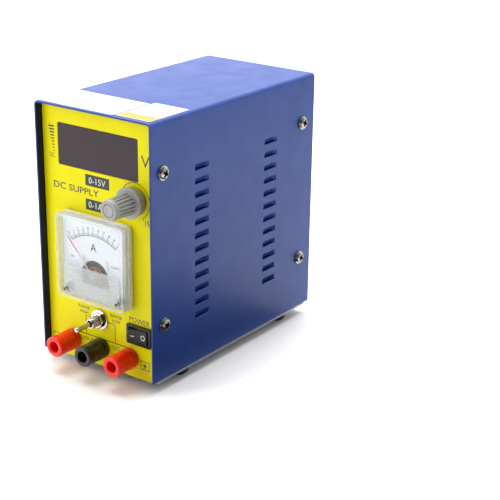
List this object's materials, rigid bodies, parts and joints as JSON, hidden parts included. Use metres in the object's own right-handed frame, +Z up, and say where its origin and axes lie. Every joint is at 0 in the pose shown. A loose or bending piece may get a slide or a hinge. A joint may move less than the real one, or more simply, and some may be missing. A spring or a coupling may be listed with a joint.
{
  "type": "bench power supply",
  "caption": "Compact bench power supply in a blue louvred steel case with a yellow front, a digital display, an analogue meter, a control knob, two switches and binding posts.",
  "frame": {"origin": "centre of the whole object's box, on the surface the feet stand on", "axes": "+Z up, the front panel faces -Y, +X to the right seen from the front"},
  "size_m": [0.0896, 0.1736, 0.1575],
  "materials": {
    "blue_powder_coat": "semi-gloss powder coat",
    "yellow_film": "printed film, satin",
    "zinc_plated_steel": "zinc plated",
    "nickel_plated_steel": "nickel plated",
    "chrome": "polished",
    "black_plastic": "satin",
    "red_plastic": "glossy",
    "grey_plastic": "satin",
    "light_grey_plastic": "satin",
    "clear_acrylic": "clear acrylic",
    "smoked_acrylic": "glossy, smoked",
    "white_plastic": "satin",
    "white_enamel": "matt enamel",
    "dark_steel": "sintered magnet",
    "copper_coil": "enamelled copper wire",
    "red_paint": "matt paint on aluminium",
    "black_rubber": "matt",
    "circuit_board": "solder mask",
    "laminated_steel": "varnished laminations",
    "winding_tape": "polyester tape",
    "aluminium": "extruded",
    "nickel_plated_brass": "nickel plated",
    "label_paper": "coated paper"
  },
  "bodies": {
    "case": {"banded_label": "label_paper", "chassis": "zinc_plated_steel", "cover": "blue_powder_coat", "cover_screw_left_front_high": "nickel_plated_steel", "cover_screw_left_front_low": "nickel_plated_steel", "cover_screw_left_rear_high": "nickel_plated_steel", "cover_screw_left_rear_low": "nickel_plated_steel", "cover_screw_right_front_high": "nickel_plated_steel", "cover_screw_right_front_low": "nickel_plated_steel", "cover_screw_right_rear_high": "nickel_plated_steel", "cover_screw_right_rear_low": "nickel_plated_steel", "display_board": "circuit_board", "display_digits": "black_plastic", "display_window": "smoked_acrylic", "filter_capacitor": "black_plastic", "foot_front_left": "black_rubber", "foot_front_right": "black_rubber", "foot_rear_left": "black_rubber", "foot_rear_right": "black_rubber", "front_overlay": "yellow_film", "heatsink": "aluminium", "main_board": "circuit_board", "mains_inlet": "black_plastic", "meter_base": "white_plastic", "meter_cover": "clear_acrylic", "meter_dial": "white_enamel", "meter_magnet": "dark_steel", "meter_screw_left": "nickel_plated_brass", "meter_screw_right": "nickel_plated_brass", "post_collar_left": "red_plastic", "post_collar_middle": "black_plastic", "post_collar_right": "red_plastic", "post_nut_left": "nickel_plated_brass", "post_nut_middle": "nickel_plated_brass", "post_nut_right": "nickel_plated_brass", "post_stud_left": "nickel_plated_brass", "post_stud_middle": "nickel_plated_brass", "post_stud_right": "nickel_plated_brass", "pot_body": "zinc_plated_steel", "pot_nut": "nickel_plated_steel", "power_transistor": "black_plastic", "rocker_housing": "black_plastic", "toggle_body": "black_plastic", "toggle_bush": "chrome", "toggle_nut": "chrome", "toggle_washer": "chrome", "transformer_core": "laminated_steel", "transformer_winding": "winding_tape", "white_label": "label_paper"},
    "knob": {"control_knob": "grey_plastic", "knob_cap": "light_grey_plastic", "pot_shaft": "aluminium"},
    "toggle": {"toggle_lever": "chrome"},
    "power_rocker": {"rocker": "black_plastic"},
    "meter_movement": {"meter_coil": "copper_coil", "meter_pointer": "red_paint"},
    "cap_left": {"post_cap_left": "red_plastic"},
    "cap_middle": {"post_cap_middle": "black_plastic"},
    "cap_right": {"post_cap_right": "red_plastic"},
    "drawer": {"fuse_drawer": "black_plastic"}
  },
  "joints": [
    {"name": "knob_turn", "type": "hinge", "parent": "case", "child": "knob", "pos_m": [0.0269, -0.06475, 0.1111], "axis": [0, 1, 0], "range_deg": [0, 300]},
    {"name": "toggle_throw", "type": "hinge", "parent": "case", "child": "toggle", "pos_m": [-0.0012, -0.07115, 0.03405], "axis": [0, 0, 1], "range_deg": [-12, 12]},
    {"name": "rocker_tilt", "type": "hinge", "parent": "case", "child": "power_rocker", "pos_m": [0.0288, -0.06565, 0.03215], "axis": [0, 0, -1], "range_deg": [0, 20]},
    {"name": "meter_swing", "type": "hinge", "parent": "case", "child": "meter_movement", "pos_m": [-0.0005, -0.06475, 0.0622], "axis": [0, 1, 0], "range_deg": [-2, 83], "stiffness_Nm_per_rad": 0.0005},
    {"name": "post_cap_left_out", "type": "slide", "parent": "case", "child": "cap_left", "axis": [0, -1, 0], "range_m": [0, 0.004]},
    {"name": "post_cap_middle_out", "type": "slide", "parent": "case", "child": "cap_middle", "axis": [0, -1, 0], "range_m": [0, 0.004]},
    {"name": "post_cap_right_out", "type": "slide", "parent": "case", "child": "cap_right", "axis": [0, -1, 0], "range_m": [0, 0.004]},
    {"name": "fuse_drawer_out", "type": "slide", "parent": "case", "child": "drawer", "axis": [0, 1, 0], "range_m": [0, 0.016]}
  ]
}
